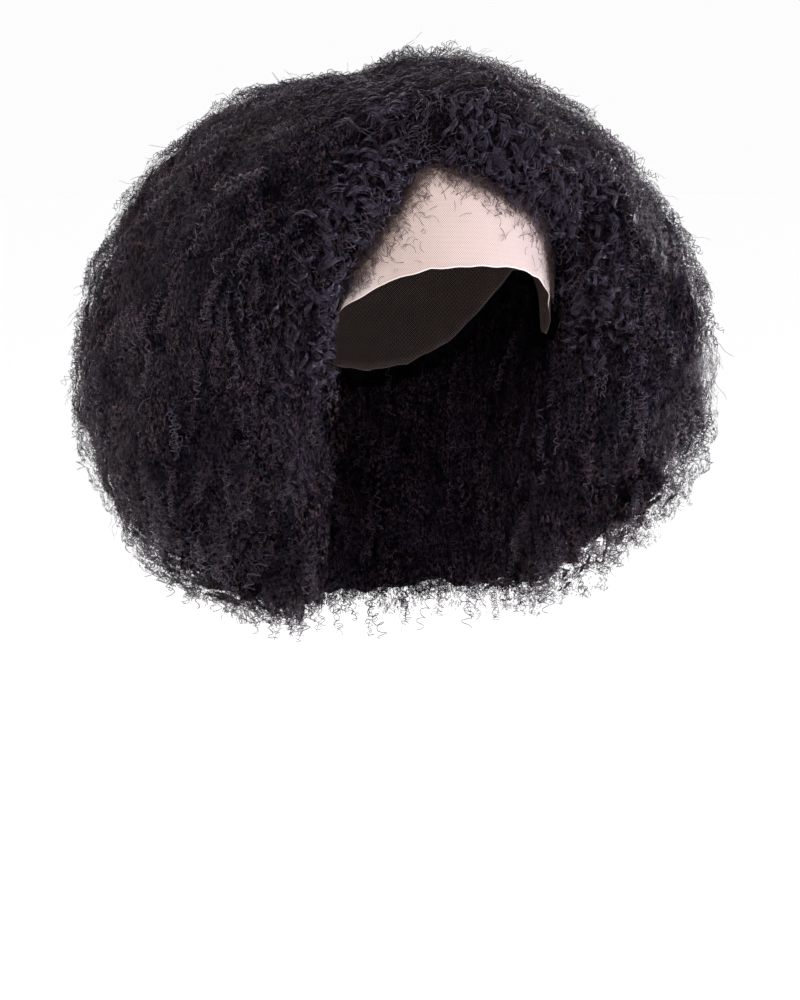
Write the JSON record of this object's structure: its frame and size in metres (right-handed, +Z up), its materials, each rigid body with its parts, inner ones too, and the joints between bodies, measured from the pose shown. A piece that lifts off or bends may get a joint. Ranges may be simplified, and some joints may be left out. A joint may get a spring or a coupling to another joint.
{
  "type": "full lace wig",
  "caption": "Full lace wig: a hollow lace cap with a bare lace margin at the forehead and a large rounded mass of kinky curls with a side part, worn on a head.",
  "frame": {"origin": "crown seat: the point where the top of the wearer's head touches the inside of the cap", "axes": "+Z up, -Y the way the wearer faces, +X to the wearer's left"},
  "size_m": [0.396, 0.3113, 0.3698],
  "materials": {
    "lace": "fine sheer lace net, pale beige",
    "hair": "kinky curly hair, black with a dark brown tint"
  },
  "bodies": {
    "root": {"lace_front": "lace", "lace_back": "lace", "hair_top_left": "hair", "hair_top_right": "hair", "hair_side_left": "hair", "hair_side_right": "hair", "hair_crown": "hair", "hair_nape": "hair"}
  },
  "joints": []
}
